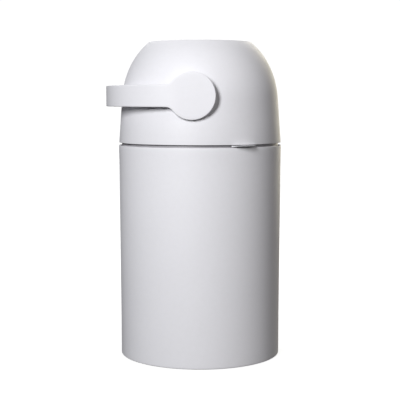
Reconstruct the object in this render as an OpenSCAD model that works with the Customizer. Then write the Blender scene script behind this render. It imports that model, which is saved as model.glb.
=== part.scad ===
// Nappy bin: a tall round bucket under a domed head. Turning the bail handle
// half a turn tips the drum inside the head, and the piston in the drum pushes
// what was in the cup down into the bag.
// Millimetres, +Z up. The origin is the centre of the base on the floor, the
// drum turns about Y, and the handle rests towards -X.

/* [Bucket] */
// Outer radius of the bucket at the floor
bucket_r_base = 136.5; // [134:0.5:137]
// Outer radius of the bucket at its rim
bucket_r_rim = 138.8; // [138.4:0.1:139.2]
// Height of the bucket's rim above the floor
bucket_h = 360; // [359:0.5:361]
// Wall thickness of the bucket
bucket_wall = 2.4; // [2.2:0.1:2.6]
// Height of the bucket's floor, upper face
bucket_floor = 9; // [7:0.5:14]

/* [Head] */
// Outer radius of the dome at its lower edge
dome_r = 138.3; // [138:0.1:138.6]
// Height of the dome's lower edge
dome_z = 364.5; // [364.3:0.1:364.8]
// Height of the top of the dome
dome_top = 534; // [532:0.5:536]
// Outer radius of the flat top edge
top_r = 88; // [87:0.5:90]
// Wall thickness of the dome
dome_wall = 2.6; // [2.4:0.1:2.8]

/* [Drum] */
// Height of the drum's axis
hub_z = 443; // [442.5:0.5:443.5]
// Outer radius of the round drum
drum_r = 86; // [85.5:0.5:86]
// Bore radius of the drum's tube
tube_r = 58.5; // [58:0.25:58.5]
// Half the length of the drum's tube
tube_half = 60; // [59:0.5:60]
// Thickness of the piston
piston_t = 22; // [20:1:26]
// Radial clearance of the piston's wiper in the tube
wiper_gap = 0.08; // [0.04:0.01:0.1]

/* [Handle] */
// Reach of the handle from the drum's axis
bail_reach = 160; // [158:0.5:161]
// Half the outer width across the two hub discs
bail_half = 142; // [142:0.25:143]
// Height of the handle's band
band_h = 36; // [32:1:38]
// Radius of the hub disc
hub_r = 38.5; // [36:0.5:39]
// Thickness of the hub disc
hub_t = 5; // [4.6:0.1:5]
// Radius of the concave blend between band and disc
blend_r = 16; // [10:1:22]

/* [Bearings and pins] */
// Radius of the drum's trunnion journal
journal_r = 9; // [8.5:0.1:9]
// Radial running clearance in the bushes
journal_gap = 0.06; // [0.03:0.01:0.1]
// Radius of the head's hinge pin
pin_r = 2; // [1.8:0.1:2]
// Radial running clearance of the hinge pin
pin_gap = 0.05; // [0.03:0.01:0.1]

/* [Latch] */
// Angle of the release tab, from the front hub round towards +X
tab_angle = 36.5; // [30:0.5:40]
// Width of the release tab
tab_w = 46; // [40:1:48]
// How far the tab stands out of the bucket's side
tab_out = 9; // [7:0.5:9]

/* [Hidden] */
$fn = 96;

shell_white = [0.93, 0.93, 0.94];
inner_grey = [0.62, 0.61, 0.62];
seal_grey = [0.78, 0.79, 0.80];
steel = [0.72, 0.73, 0.75];
rubber = [0.25, 0.25, 0.26];

// Direction of the tab in the plan, counted from +X
tab_dir = tab_angle - 90;
// Hinge axis: opposite the tab, just outside the rim
hinge_off = 143.5;
hinge_z = 362.2;
hinge_barrel = 4.2;
neck_or = 133.5;
neck_ir = 131;
neck_top = 369;
deck_z = 372;
deck_t = 3;
bush_or = 12.5;
boss_face = 134.8;
hub_back = bail_half - hub_t;
socket_in = 124;
lip = 3;
lip_r = tube_r - 3;
piston_low = -tube_half + lip + 0.05;
bag_top = 349;
stem_low = 360.35;
stem_t = 3;
e = 0.01;

function bez(p, t) = pow(1 - t, 3) * p[0] + 3 * pow(1 - t, 2) * t * p[1]
    + 3 * (1 - t) * t * t * p[2] + pow(t, 3) * p[3];
function curve(p, n, from = 0) = [for (i = [from : n]) bez(p, i / n)];

// Half outline of the bucket's outside, a slow taper with a slight flare
bucket_line = [[bucket_r_base - 0.9, 0.4], [bucket_r_base, 1.3],
    [bucket_r_base + 0.1, 80], [bucket_r_base + 0.6, 150],
    [bucket_r_base + 1.2, 240], [bucket_r_rim - 0.6, 320],
    [bucket_r_rim, 354], [bucket_r_rim, bucket_h - 0.5],
    [bucket_r_rim - 0.5, bucket_h]];

// The dome: a straight taper, then one curve in to the flat top
dome_knee = [133, 440];
dome_curve = curve([dome_knee, [130, 480], [112, 514],
    [top_r, dome_top - 1]], 18, 1);
dome_line = concat([[dome_r - 0.4, dome_z], [dome_r, dome_z + 0.4], dome_knee],
    dome_curve, [[top_r - 0.9, dome_top]]);
function shift_in(l, d) = [for (i = [0 : len(l) - 1])
    let (a = l[max(i - 1, 0)], b = l[min(i + 1, len(l) - 1)],
        t = (b - a) / norm(b - a)) l[i] + d * [-t[1], t[0]]];
function rev(l) = [for (i = [len(l) - 1 : -1 : 0]) l[i]];
// Outer radius of the dome's straight part at height z
function dome_at(z) = dome_r + (dome_knee[0] - dome_r) * (z - dome_z - 0.4)
    / (dome_knee[1] - dome_z - 0.4);

// A round bar along +Y between two distances
module bar_y(r, y0, y1) {
    translate([0, y0, 0]) rotate([-90, 0, 0]) cylinder(r = r, h = y1 - y0);
}
// Children drawn in the tab's frame: +X there points out through the tab
module at_tab() rotate([0, 0, tab_dir]) children();
// A round bar along the tab frame's +Y through the hinge axis
module hinge_bar(r, y0, y1) {
    translate([-hinge_off, 0, hinge_z]) bar_y(r, y0, y1);
}
// A sector of a ring whose inner face follows a line of [radius, height]
module wall_sector(line, t, half_deg) {
    rotate([0, 0, 180 - half_deg])
        rotate_extrude(angle = 2 * half_deg)
            polygon(concat(line, [for (p = rev(line)) p + [t, 0]]));
}
// Mirrored copies about the tab frame's XZ plane
module both_y() {
    children();
    mirror([0, 1, 0]) children();
}
// A radial screw in the tab frame: pan head outside, point inwards
module radial_screw(y, z, r_head, len) {
    translate([-r_head, y, z]) rotate([0, 90, 0]) {
        difference() {
            translate([0, 0, -1.7]) cylinder(r = 3, h = 1.7);
            translate([0, 0, -1.7 - e]) cylinder(r = 1.2, h = 1, $fn = 6);
        }
        cylinder(r = 1.4, h = len);
    }
}

module bucket_shell() {
    color(shell_white) difference() {
        union() {
            rotate_extrude() difference() {
                polygon(concat([[0, 0.4]], bucket_line, [[0, bucket_h]]));
                polygon([[0, bucket_floor],
                    [bucket_r_base - bucket_wall - 3, bucket_floor],
                    [bucket_r_base - bucket_wall, bucket_floor + 3],
                    [bucket_r_base + 0.1 - bucket_wall, 80],
                    [bucket_r_base + 0.6 - bucket_wall, 150],
                    [bucket_r_base + 1.2 - bucket_wall, 240],
                    [bucket_r_rim - 0.6 - bucket_wall, 320],
                    [bucket_r_rim - bucket_wall, 354],
                    [bucket_r_rim - bucket_wall, bucket_h + 1],
                    [0, bucket_h + 1]]);
                // recess under the floor, inside the foot
                polygon([[0, -1], [113, -1], [113, 4], [110, 6.4], [0, 6.4]]);
                // groove that holds the foot ring
                translate([117, -1]) square([11, 3.6]);
            }
            // bosses that take the hinge bracket's screws
            at_tab() for (y = [-16, 16]) intersection() {
                translate([-137, y, 324]) rotate([0, 90, 0])
                    cylinder(r = 4.4, h = 8);
                cylinder(r = 136.6, h = 400);
            }
        }
        at_tab() for (y = [-16, 16]) translate([-150, y, 324])
            rotate([0, 90, 0]) cylinder(r = 1.4, h = 24);
    }
}

module foot_ring() {
    color(rubber) rotate_extrude() difference() {
        translate([117, 0]) square([11, 2.6]);
        translate([120, -1]) square([1.2, 2]);
        translate([123.8, -1]) square([1.2, 2]);
    }
}

module neck_ring() {
    color(inner_grey) difference() {
        rotate_extrude() polygon([[126.5, 334], [136, 334], [136, 356],
            [136.2, 359.6], [neck_or, 359.6], [neck_or, neck_top - 0.6],
            [neck_or - 0.6, neck_top], [neck_ir, neck_top], [neck_ir, 356],
            [134, 355.4], [134, 336], [126.5, 336]]);
        // slot that the release tab slides in
        at_tab() translate([120, -13.6, 359.75]) cube([20, 27.2, 20]);
    }
}

module bag_ring() {
    color(seal_grey) rotate_extrude() polygon([[112, 347.4], [113, 346.4],
        [128.6, 346.4], [128.6, 336], [130.4, 336], [130.4, bag_top - 1],
        [129.4, bag_top], [113, bag_top], [112, 348]]);
}

module hinge_bracket() {
    half = 10.4;
    color(shell_white) at_tab() difference() {
        union() {
            wall_sector([[bucket_r_rim - 0.5, 316], [bucket_r_rim + 0.05, 354],
                [bucket_r_rim + 0.05, 357]], 2.4, half);
            both_y() hull() {
                translate([-hinge_off, 11.2, hinge_z]) bar_y(hinge_barrel, 0, 10.8);
                translate([-hinge_off + 0.4, 11.2, 348])
                    cube([2.2, 10.8, 2]);
            }
        }
        // keep the lugs off the bucket's side
        translate([0, 0, 300]) cylinder(r = bucket_r_rim + 0.04, h = 80);
        translate([-150, -10.9, 355.5]) cube([20, 21.8, 20]);
        hinge_bar(pin_r, -30, 30);
        for (y = [-16, 16]) translate([-150, y, 324])
            rotate([0, 90, 0]) cylinder(r = 1.5, h = 20);
    }
}

module hinge_pin() {
    color(steel) at_tab() {
        hinge_bar(pin_r, -22.8, 22.8);
    }
}

module bracket_screws() {
    color(steel) at_tab() for (y = [-16, 16])
        radial_screw(y, 324, 140.2, 11);
}

module dome_shell() {
    inner = shift_in(dome_line, dome_wall);
    n = len(dome_line);
    color(shell_white) difference() {
        union() {
            rotate_extrude() polygon(concat(
                dome_line,
                [[top_r - 2.8, dome_top], [top_r - 2.8, dome_top - 4.4]],
                [for (i = [n - 3 : -1 : 3]) inner[i]],
                [[dome_knee[0] - dome_wall, dome_knee[1]],
                [dome_r - dome_wall, dome_z + 0.4],
                [dome_r - dome_wall + 0.4, dome_z]]));
            // bearing bosses for the drum, front and rear
            for (s = [0, 180]) rotate([0, 0, s]) difference() {
                translate([0, 0, hub_z]) bar_y(20, -boss_face, -117);
                translate([0, 0, hub_z]) bar_y(17, -125, -116);
            }
            for (s = [0, 180]) rotate([0, 0, s])
                translate([0, 0, hub_z]) bar_y(bush_or + 2.4, -130, -117);
            // the stop that ends the drum's half turn
            translate([0, 0, hub_z]) rotate([90, 0, 0]) translate([0, 0, 106])
                rotate([0, 0, 101]) rotate_extrude(angle = 158)
                    translate([11.4, 0]) square([3.4, 11.5]);
            // screw posts for the deck
            for (a = [30 : 60 : 330]) rotate([0, 0, tab_dir + a]) {
                translate([127.4, 0, deck_z + deck_t]) cylinder(r = 4.6, h = 30);
                translate([127, -1.3, deck_z + deck_t]) cube([8.1, 2.6, 30]);
            }
            // bosses behind the hinge leaf
            at_tab() for (y = [-16, 16]) intersection() {
                translate([-137, y, 384]) rotate([0, 90, 0])
                    cylinder(r = 4.4, h = 8);
                translate([0, 0, 370]) cylinder(r = 135.4, h = 30);
            }
        }
        translate([0, 0, hub_z]) bar_y(bush_or, -200, 200);
        for (a = [30 : 60 : 330]) rotate([0, 0, tab_dir + a])
            translate([127.4, 0, deck_z]) cylinder(r = 1.5, h = 22);
        at_tab() for (y = [-16, 16]) translate([-150, y, 384])
            rotate([0, 90, 0]) cylinder(r = 1.4, h = 24);
    }
}

module top_funnel() {
    color(shell_white) rotate_extrude() polygon([
        [top_r - 2.9, dome_top], [top_r - 4.6, dome_top], [top_r - 6, dome_top - 1.4],
        [72, 500], [72, 497], [77.5, 497], [77.5, 499], [74.4, 499.4],
        [top_r - 4.6, dome_top - 6], [top_r - 2.9, dome_top - 4.2]]);
}

module upper_seal() {
    color(seal_grey) rotate_extrude() polygon([
        [71.9, 496.9], [77.4, 496.9], [77.4, 494.6], [75, 493.6],
        [71.3, 491.6], [70.75, 492.1], [71.6, 494.4]]);
}

module head_base() {
    seat = deck_z;
    color(shell_white) {
        difference() {
            union() {
                rotate_extrude() polygon([
                    [134, seat], [134, seat + deck_t], [78.5, seat + deck_t],
                    [75, seat + deck_t + 3], [75, 387.6], [72.6, 387.6],
                    [72.6, seat + 1], [73.6, seat],
                    [114.4, seat], [114.4, 351.8], [116.6, 351.8], [116.6, seat]]);
                // channel that the release tab's slider hangs in
                at_tab() intersection() {
                    both_y() {
                        translate([121, 9.5, 365.2]) cube([13, 3.6, 8]);
                        translate([121, 4.5, 365.2]) cube([13, 6, 2.5]);
                    }
                    cylinder(r = 134, h = 400);
                }
            }
            for (a = [30 : 60 : 330]) rotate([0, 0, tab_dir + a])
                translate([127.4, 0, seat - 1]) cylinder(r = 1.8, h = 6);
        }
    }
}

module lower_seal() {
    color(seal_grey) rotate_extrude() polygon([
        [72.5, 387.7], [75.1, 387.7], [75.1, 384], [76.9, 384],
        [76.9, 391], [75, 392.4], [71.3, 394.4], [70.75, 393.9],
        [71.6, 391.6], [72.5, 390]]);
}

module bag_seal() {
    color(seal_grey) rotate_extrude() polygon([
        [113, 350], [113.7, 349.3], [117.3, 349.3], [118, 350], [118, 354.5],
        [116.65, 354.5], [116.65, 351.7], [114.35, 351.7], [114.35, 354.5],
        [113, 354.5]]);
}

module deck_screws() {
    color(steel) for (a = [30 : 60 : 330]) rotate([0, 0, tab_dir + a])
        translate([127.4, 0, deck_z]) {
            difference() {
                translate([0, 0, -2]) cylinder(r = 3.2, h = 2);
                translate([0, 0, -2 - e]) cylinder(r = 1.3, h = 1.2, $fn = 6);
            }
            cylinder(r = 1.5, h = 16);
        }
}

module hinge_leaf() {
    half = 10.4;
    color(shell_white) at_tab() difference() {
        union() {
            wall_sector([[dome_at(370) + 0.05, 370], [dome_at(393) + 0.05, 393]],
                2.4, half);
            hull() {
                translate([-hinge_off, 0, hinge_z]) bar_y(hinge_barrel, -10.6, 10.6);
                translate([-hinge_off + 2.4, -10.6, 371]) cube([2, 21.2, 2]);
            }
        }
        // keep the knuckle off the dome's side
        rotate_extrude() polygon([[0, 363.3], [dome_r + 0.05, 363.3],
            [dome_r + 0.05, dome_z + 0.4], [dome_at(410) + 0.04, 410], [0, 410]]);
        hinge_bar(pin_r + pin_gap, -30, 30);
        for (y = [-16, 16]) translate([-150, y, 384])
            rotate([0, 90, 0]) cylinder(r = 1.5, h = 20);
    }
}

module leaf_screws() {
    color(steel) at_tab() for (y = [-16, 16])
        radial_screw(y, 384, 139.1, 11);
}

module bush() {
    color(inner_grey) translate([0, 0, hub_z]) difference() {
        union() {
            bar_y(bush_or, -boss_face, -116.6);
            bar_y(18.5, -boss_face - 1.5, -boss_face);
        }
        bar_y(journal_r + journal_gap, -140, -110);
    }
}
module front_bush() bush();
module rear_bush() rotate([0, 0, 180]) bush();

module release_tab() {
    color(shell_white) at_tab() {
        difference() {
            union() {
                // the tongue that a thumb presses
                translate([0, 0, stem_low]) linear_extrude(stem_t) difference() {
                    translate([bucket_r_rim + tab_out - 29.7, 0]) circle(r = 29.7);
                    circle(r = 138);
                    translate([0, tab_w / 2]) square([200, 50]);
                    translate([0, -tab_w / 2 - 50]) square([200, 50]);
                }
                // the stem through the neck's slot
                translate([121, -13, stem_low]) cube([19, 26, stem_t]);
            }
            translate([0, 0, 300]) rotate_extrude()
                translate([151, 0]) square([20, 100]);
        }
        // web and cap that hang in the deck's channel
        intersection() {
            union() {
                translate([125, -4.2, stem_low + stem_t - e])
                    cube([9.4, 8.4, 6.4]);
                translate([125, -9, 368]) cube([9.4, 18, 2.6]);
            }
            cylinder(r = 134.7, h = 400);
        }
        // the hook that catches under the neck ring's shoulder
        translate([0, 8, 0]) rotate([90, 0, 0]) linear_extrude(16) polygon([
            [124.6, stem_low + e], [124.6, 351.6], [128, 351.6],
            [133.2, 354.6], [133.2, 355], [128, 355], [128, stem_low + e]]);
    }
}

module latch_spring() {
    turns = 4;
    n = 56;
    wire = 0.45;
    coil = 2.3;
    len = 7.2;
    x0 = 117.2;
    sides = 8;
    pts = [for (i = [0 : n]) let (a = 360 * turns * i / n,
            x = x0 + wire + (len - 2 * wire) * i / n)
        for (j = [0 : sides - 1]) let (b = 360 * j / sides,
            rr = coil + wire * cos(b))
            [x + wire * sin(b), rr * cos(a), rr * sin(a)]];
    faces = concat(
        [for (i = [0 : n - 1], j = [0 : sides - 1]) let (k = (j + 1) % sides)
            [i * sides + j, i * sides + k, (i + 1) * sides + k, (i + 1) * sides + j]],
        [[for (j = [sides - 1 : -1 : 0]) j]],
        [[for (j = [0 : sides - 1]) n * sides + j]]);
    color(steel) at_tab() translate([0, 0, 366.4])
        polyhedron(points = pts, faces = faces);
}

// One half of the drum, mouth up, its joint face on the XY plane
module drum_half(screw_side) {
    difference() {
        rotate_extrude() intersection() {
            circle(r = drum_r);
            union() {
                translate([tube_r, 0]) square([40, tube_half]);
                translate([lip_r, tube_half - lip]) square([40, lip]);
            }
        }
        // the hollow between the tube and the round skin, less the saddles
        difference() {
            rotate_extrude() intersection() {
                circle(r = drum_r - 3);
                translate([tube_r + 2.5, -5]) square([40, tube_half + 2]);
            }
            for (s = [0, 180]) rotate([0, 0, s]) {
                translate([-22, -90, -10]) cube([44, 26.4, 24]);
                for (x = [-24, 24]) translate([x, -72, -10])
                    rotate([0, 0, 22.5]) cylinder(r = 5.4, h = 70, $fn = 8);
            }
        }
        // slots that hold the trunnions' key plates
        for (s = [0, 180]) rotate([0, 0, s]) {
            translate([-18.1, -70.1, -1]) cube([36.2, 4.2, 11.1]);
            translate([-12, -79, -1]) cube([24, 6, 11]);
        }
        bar_y(journal_r + 0.05, -90, -63);
        bar_y(journal_r + 0.05, 63, 90);
        for (x = [-24, 24], y = [-72, 72]) translate([x, y, 0]) {
            if (screw_side) {
                translate([0, 0, -1]) cylinder(r = 1.8, h = 20);
                translate([0, 0, 10]) rotate([0, 0, 22.5])
                    cylinder(r = 3.9, h = 60, $fn = 8);
            } else translate([0, 0, -1]) cylinder(r = 1.4, h = 17);
        }
    }
}
module drum_upper_half() {
    color(shell_white) translate([0, 0, hub_z]) drum_half(false);
}
module drum_lower_half() {
    color(shell_white) translate([0, 0, hub_z]) rotate([180, 0, 0])
        drum_half(true);
}

module trunnion(stop) {
    color(inner_grey) translate([0, 0, hub_z]) difference() {
        union() {
            bar_y(journal_r, -hub_back + 0.2, -69);
            // key plate held between the drum's halves
            translate([-18, -70, -10]) cube([36, 4, 20]);
            if (stop) intersection() {
                bar_y(14.4, -114, -108);
                rotate([90, 0, 0]) linear_extrude(200) polygon([[0, 0],
                    [-3.6, 20], [3.6, 20]]);
            }
        }
        bar_y(5.5, -118, -60);
        bar_y(2.2, -130, -110);
        translate([0, -socket_in, 0]) rotate([90, 0, 0])
            cylinder(r = 6.6, h = 30, $fn = 6);
    }
}
module front_trunnion() trunnion(true);
module rear_trunnion() rotate([0, 0, 180]) trunnion(false);

module drum_screws() {
    color(steel) translate([0, 0, hub_z])
        for (x = [-24, 24], y = [-72, 72]) translate([x, y, -10]) {
            difference() {
                translate([0, 0, -2.2]) cylinder(r = 3.2, h = 2.2);
                translate([0, 0, -2.2 - e]) cylinder(r = 1.3, h = 1.2, $fn = 6);
            }
            cylinder(r = 1.4, h = 24);
        }
}

// Outline of the bail in the plan, outer or inner face, for y < 0
function bail_out() = curve([[-22, -bail_half], [-92, -bail_half],
    [-bail_reach, -84], [-bail_reach, 0]], 22);
function bail_in() = curve([[-22, -hub_back], [-88, -hub_back],
    [-bail_reach + 6.6, -80], [-bail_reach + 6.6, 0]], 22);
function flip_y(l) = [for (p = l) [p[0], -p[1]]];
module bail_plan() {
    o = bail_out();
    i = bail_in();
    n = len(o) - 1;
    polygon(concat(
        [[hub_r, -bail_half]], o, [for (k = [n - 1 : -1 : 0]) flip_y(o)[k]],
        [[hub_r, bail_half], [hub_r, hub_back]], flip_y(i),
        [for (k = [n - 1 : -1 : 0]) i[k]], [[hub_r, -hub_back]]));
}
// Side view of the bail: disc, band and the concave blends between them
module bail_side() {
    c = sqrt(pow(hub_r + blend_r, 2) - pow(band_h / 2 + blend_r, 2));
    circle(r = hub_r);
    translate([-bail_reach - 5, -band_h / 2]) square([bail_reach + 5, band_h]);
    difference() {
        k = hub_r / (hub_r + blend_r);
        polygon([[-c, band_h / 2], [-c * k, (band_h / 2 + blend_r) * k],
            [-c * k, -(band_h / 2 + blend_r) * k], [-c, -band_h / 2]]);
        translate([-c, band_h / 2 + blend_r]) circle(r = blend_r);
        translate([-c, -band_h / 2 - blend_r]) circle(r = blend_r);
    }
}
module handle() {
    color(shell_white) translate([0, 0, hub_z]) difference() {
        union() {
            intersection() {
                translate([0, 0, -hub_r - 1]) linear_extrude(2 * hub_r + 2)
                    bail_plan();
                rotate([90, 0, 0]) translate([0, 0, -bail_half - 5])
                    linear_extrude(2 * bail_half + 10) bail_side();
            }
            for (s = [0, 180]) rotate([0, 0, s])
                translate([0, -socket_in - 0.6, 0]) rotate([90, 0, 0])
                    cylinder(r = 6.5, h = hub_back - socket_in - 0.5, $fn = 6);
        }
        bar_y(1.4, -hub_back - 0.8, -120);
        bar_y(1.4, 120, hub_back + 0.8);
    }
}

module handle_screws() {
    color(steel) translate([0, 0, hub_z]) for (s = [0, 180]) rotate([0, 0, s]) {
        difference() {
            bar_y(4, -117.9, -115.4);
            translate([0, -116.4, 0]) rotate([-90, 0, 0])
                cylinder(r = 1.6, h = 2, $fn = 6);
        }
        bar_y(1.35, -135.5, -117.5);
    }
}

// One face of the piston, its outer face on the XY plane, rising with +Z
module piston_face() {
    h = piston_t / 2;
    r = tube_r - 0.35;
    rotate_extrude() difference() {
        polygon([[0, 0], [r - 3.6, 0], [r, 3], [r, h - 2], [r - 3.2, h - 2],
            [r - 3.2, h], [0, h]]);
        // the weight's seat
        polygon([[0, 4], [45, 4], [45, h + 1], [0, h + 1]]);
        // shallow rings in the outer face
        for (x = [18, 32, 46]) translate([x, 0]) circle(r = 0.9, $fn = 24);
    }
}
module piston_upper_face() {
    color(shell_white) translate([0, 0, hub_z + piston_low + piston_t])
        rotate([180, 0, 0]) piston_face();
}
module piston_lower_face() {
    color(shell_white) translate([0, 0, hub_z + piston_low]) piston_face();
}
module piston_weight() {
    color(steel) translate([0, 0, hub_z + piston_low + 4.1]) difference() {
        cylinder(r = 44.8, h = piston_t - 8.2);
        translate([0, 0, -1]) cylinder(r = 8, h = 40);
    }
}
module piston_wiper() {
    h = piston_t / 2;
    r = tube_r - 0.35;
    color(seal_grey) translate([0, 0, hub_z + piston_low]) rotate_extrude()
        polygon([[r - 3.15, h - 1.9], [tube_r - 1, h - 1.9],
            [tube_r - wiper_gap, h - 0.6], [tube_r - wiper_gap, h + 0.6],
            [tube_r - 1, h + 1.9], [r - 3.15, h + 1.9]]);
}

bucket_shell();
foot_ring();
neck_ring();
bag_ring();
hinge_bracket();
hinge_pin();
bracket_screws();
dome_shell();
top_funnel();
upper_seal();
head_base();
lower_seal();
bag_seal();
deck_screws();
hinge_leaf();
leaf_screws();
front_bush();
rear_bush();
release_tab();
latch_spring();
drum_upper_half();
drum_lower_half();
front_trunnion();
rear_trunnion();
drum_screws();
handle();
handle_screws();
piston_upper_face();
piston_lower_face();
piston_weight();
piston_wiper();
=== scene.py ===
import math

import bmesh
import bpy
from mathutils import Matrix, Vector


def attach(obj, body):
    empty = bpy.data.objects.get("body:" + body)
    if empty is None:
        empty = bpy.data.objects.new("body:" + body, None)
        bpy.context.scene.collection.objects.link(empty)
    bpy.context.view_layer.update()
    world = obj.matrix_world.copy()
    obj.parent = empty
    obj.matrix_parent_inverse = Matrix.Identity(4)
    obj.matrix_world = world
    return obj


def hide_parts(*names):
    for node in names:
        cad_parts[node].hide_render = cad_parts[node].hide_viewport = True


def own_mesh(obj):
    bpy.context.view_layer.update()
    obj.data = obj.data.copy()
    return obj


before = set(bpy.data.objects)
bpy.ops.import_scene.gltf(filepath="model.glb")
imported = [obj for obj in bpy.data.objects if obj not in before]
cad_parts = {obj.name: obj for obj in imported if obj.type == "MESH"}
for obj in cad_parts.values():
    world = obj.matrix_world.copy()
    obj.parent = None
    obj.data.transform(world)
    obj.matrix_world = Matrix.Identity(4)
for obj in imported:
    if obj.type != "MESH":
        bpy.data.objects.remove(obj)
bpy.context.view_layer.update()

MM = 0.001

# ---------------------------------------------------------------- camera
CAM_AZ = math.radians(5.4)
CAM_D = 1.8216
CAM_Z = 0.4347
CAM_PITCH = math.radians(5.34)
cam_data = bpy.data.cameras.new("camera")
cam_data.sensor_width = 36.0
cam_data.lens = 95.3
cam_data.clip_end = 60.0
cam = bpy.data.objects.new("camera", cam_data)
bpy.context.scene.collection.objects.link(cam)
cam.location = (CAM_D * math.sin(CAM_AZ), -CAM_D * math.cos(CAM_AZ), CAM_Z)
cam.rotation_euler = (math.pi / 2 - CAM_PITCH, 0.0, CAM_AZ)
bpy.context.scene.camera = cam

# ---------------------------------------------------------------- the bin's sizes, in mm
BUCKET_LINE = [(136.5, 1.9), (136.6, 80), (137.1, 150), (137.7, 240), (138.2, 320), (138.8, 354)]
BUCKET_H = 360.0
BUCKET_WALL = 2.4
DOME_R, DOME_Z, DOME_TOP, TOP_R, DOME_WALL = 138.3, 364.5, 534.0, 88.0, 2.6
KNEE = (133.0, 440.0)
HUB_Z = 443.0
DRUM_R, TUBE_R, TUBE_HALF = 86.0, 58.5, 60.0
PISTON_T = 22.0
PISTON_LOW = -56.95
REACH, HALF_W, BAND_H, HUB_R, HUB_T, BLEND = 160.0, 142.0, 36.0, 38.5, 5.0, 16.0
TAB_DIR = math.radians(36.5 - 90.0)
HINGE_OFF, HINGE_Z, BARREL = 143.5, 362.2, 4.2


# ---------------------------------------------------------------- mesh helpers
def link(o):
    bpy.context.scene.collection.objects.link(o)
    return o


def mesh_object(name, verts, faces, scale=MM):
    me = bpy.data.meshes.new(name)
    me.from_pydata([(x * scale, y * scale, z * scale) for x, y, z in verts], [], faces)
    me.update()
    o = link(bpy.data.objects.new(name, me))
    bm = bmesh.new()
    bm.from_mesh(me)
    bmesh.ops.recalc_face_normals(bm, faces=bm.faces)
    bm.to_mesh(me)
    bm.free()
    return o


def smooth(o, angle=32):
    me = o.data
    me.shade_smooth()
    me.set_sharp_from_angle(angle=math.radians(angle))
    return o


def arc_corner(p, q, s, r, n):
    """Points of a fillet of radius r at q, between p and s."""
    v1 = Vector((p[0] - q[0], p[1] - q[1]))
    v2 = Vector((s[0] - q[0], s[1] - q[1]))
    l1, l2 = v1.length, v2.length
    if r <= 0 or l1 < 1e-9 or l2 < 1e-9:
        return [q]
    v1 /= l1
    v2 /= l2
    half = math.acos(max(-1.0, min(1.0, v1.dot(v2)))) / 2
    if half > math.radians(88.5) or half < 1e-3:
        return [q]
    t = min(r / math.tan(half), 0.49 * l1, 0.49 * l2)
    r = t * math.tan(half)
    mid = (v1 + v2).normalized()
    c = Vector(q) + mid * (r / math.sin(half))
    a, b = Vector(q) + v1 * t, Vector(q) + v2 * t
    a0 = math.atan2(a.y - c.y, a.x - c.x)
    a1 = math.atan2(b.y - c.y, b.x - c.x)
    d = (a1 - a0 + math.pi) % (2 * math.pi) - math.pi
    return [(c.x + r * math.cos(a0 + d * i / n), c.y + r * math.sin(a0 + d * i / n)) for i in range(n + 1)]


def rounded(points, n=5):
    """points: (x, y) or (x, y, radius). Returns the closed outline with each radius drawn as an arc."""
    out = []
    m = len(points)
    for i, q in enumerate(points):
        p, s = points[i - 1], points[(i + 1) % m]
        r = q[2] if len(q) > 2 else 0.0
        out += arc_corner(p[:2], q[:2], s[:2], r, n)
    clean = []
    for q in out:
        if not clean or (q[0] - clean[-1][0]) ** 2 + (q[1] - clean[-1][1]) ** 2 > 1e-8:
            clean.append((q[0], q[1]))
    if (clean[0][0] - clean[-1][0]) ** 2 + (clean[0][1] - clean[-1][1]) ** 2 < 1e-8:
        clean.pop()
    return clean


def lathe(name, outline, seg=256, angle=360.0, start=0.0):
    """Turns a closed outline of (radius, height) about Z. Points on the axis become one vertex."""
    full = angle >= 360.0
    rings = seg if full else seg + 1
    verts, index = [], []
    for r, z in outline:
        if r < 1e-6:
            index.append([len(verts)] * rings)
            verts.append((0.0, 0.0, z))
            continue
        row = []
        for k in range(rings):
            a = math.radians(start + angle * k / seg)
            row.append(len(verts))
            verts.append((r * math.cos(a), r * math.sin(a), z))
        index.append(row)
    faces = []
    m = len(outline)
    for i in range(m):
        j = (i + 1) % m
        if outline[i][0] < 1e-6 and outline[j][0] < 1e-6:
            continue
        for k in range(seg):
            k2 = (k + 1) % rings
            f = [index[i][k], index[j][k], index[j][k2], index[i][k2]]
            f = list(dict.fromkeys(f))
            if len(f) > 2:
                faces.append(f)
    if not full:
        faces.append([index[i][0] for i in range(m)])
        faces.append([index[i][-1] for i in reversed(range(m))])
    return mesh_object(name, verts, faces)


def prism(name, outline, z0, z1):
    """A straight solid with this (x, y) outline between two heights."""
    n = len(outline)
    verts = [(x, y, z0) for x, y in outline] + [(x, y, z1) for x, y in outline]
    faces = [list(range(n))[::-1], list(range(n, 2 * n))]
    faces += [[i, (i + 1) % n, n + (i + 1) % n, n + i] for i in range(n)]
    return mesh_object(name, verts, faces)


def block(lo, hi):
    return prism("tool", [(lo[0], lo[1]), (hi[0], lo[1]), (hi[0], hi[1]), (lo[0], hi[1])], lo[2], hi[2])


def rod(r, z0, z1, seg=64):
    return prism("tool", [(r * math.cos(2 * math.pi * i / seg), r * math.sin(2 * math.pi * i / seg)) for i in range(seg)], z0, z1)


def move(o, m):
    o.data.transform(m)
    if m.determinant() < 0:
        o.data.flip_normals()
    o.data.update()
    return o


def at(x=0.0, y=0.0, z=0.0):
    return Matrix.Translation((x * MM, y * MM, z * MM))


def turn(deg, axis):
    return Matrix.Rotation(math.radians(deg), 4, axis)


TAB = Matrix.Rotation(TAB_DIR, 4, "Z")
Y_BAR = turn(90, "X")  # a rod along +Z comes to lie along -Y
X_BAR = turn(90, "Y")  # a rod along +Z comes to lie along +X


def boolean(o, tools, op):
    """Adds, cuts or keeps the shared part of each tool in turn, and drops the tools."""
    for t in tools:
        mod = o.modifiers.new("b", "BOOLEAN")
        mod.operation = op
        mod.solver = "MANIFOLD"
        mod.object = t
        dg = bpy.context.evaluated_depsgraph_get()
        me = bpy.data.meshes.new_from_object(o.evaluated_get(dg))
        o.modifiers.clear()
        old = o.data
        o.data = me
        bpy.data.meshes.remove(old)
        old = t.data
        bpy.data.objects.remove(t)
        bpy.data.meshes.remove(old)
    return o


def cut(o, *tools):
    return boolean(o, tools, "DIFFERENCE")


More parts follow.
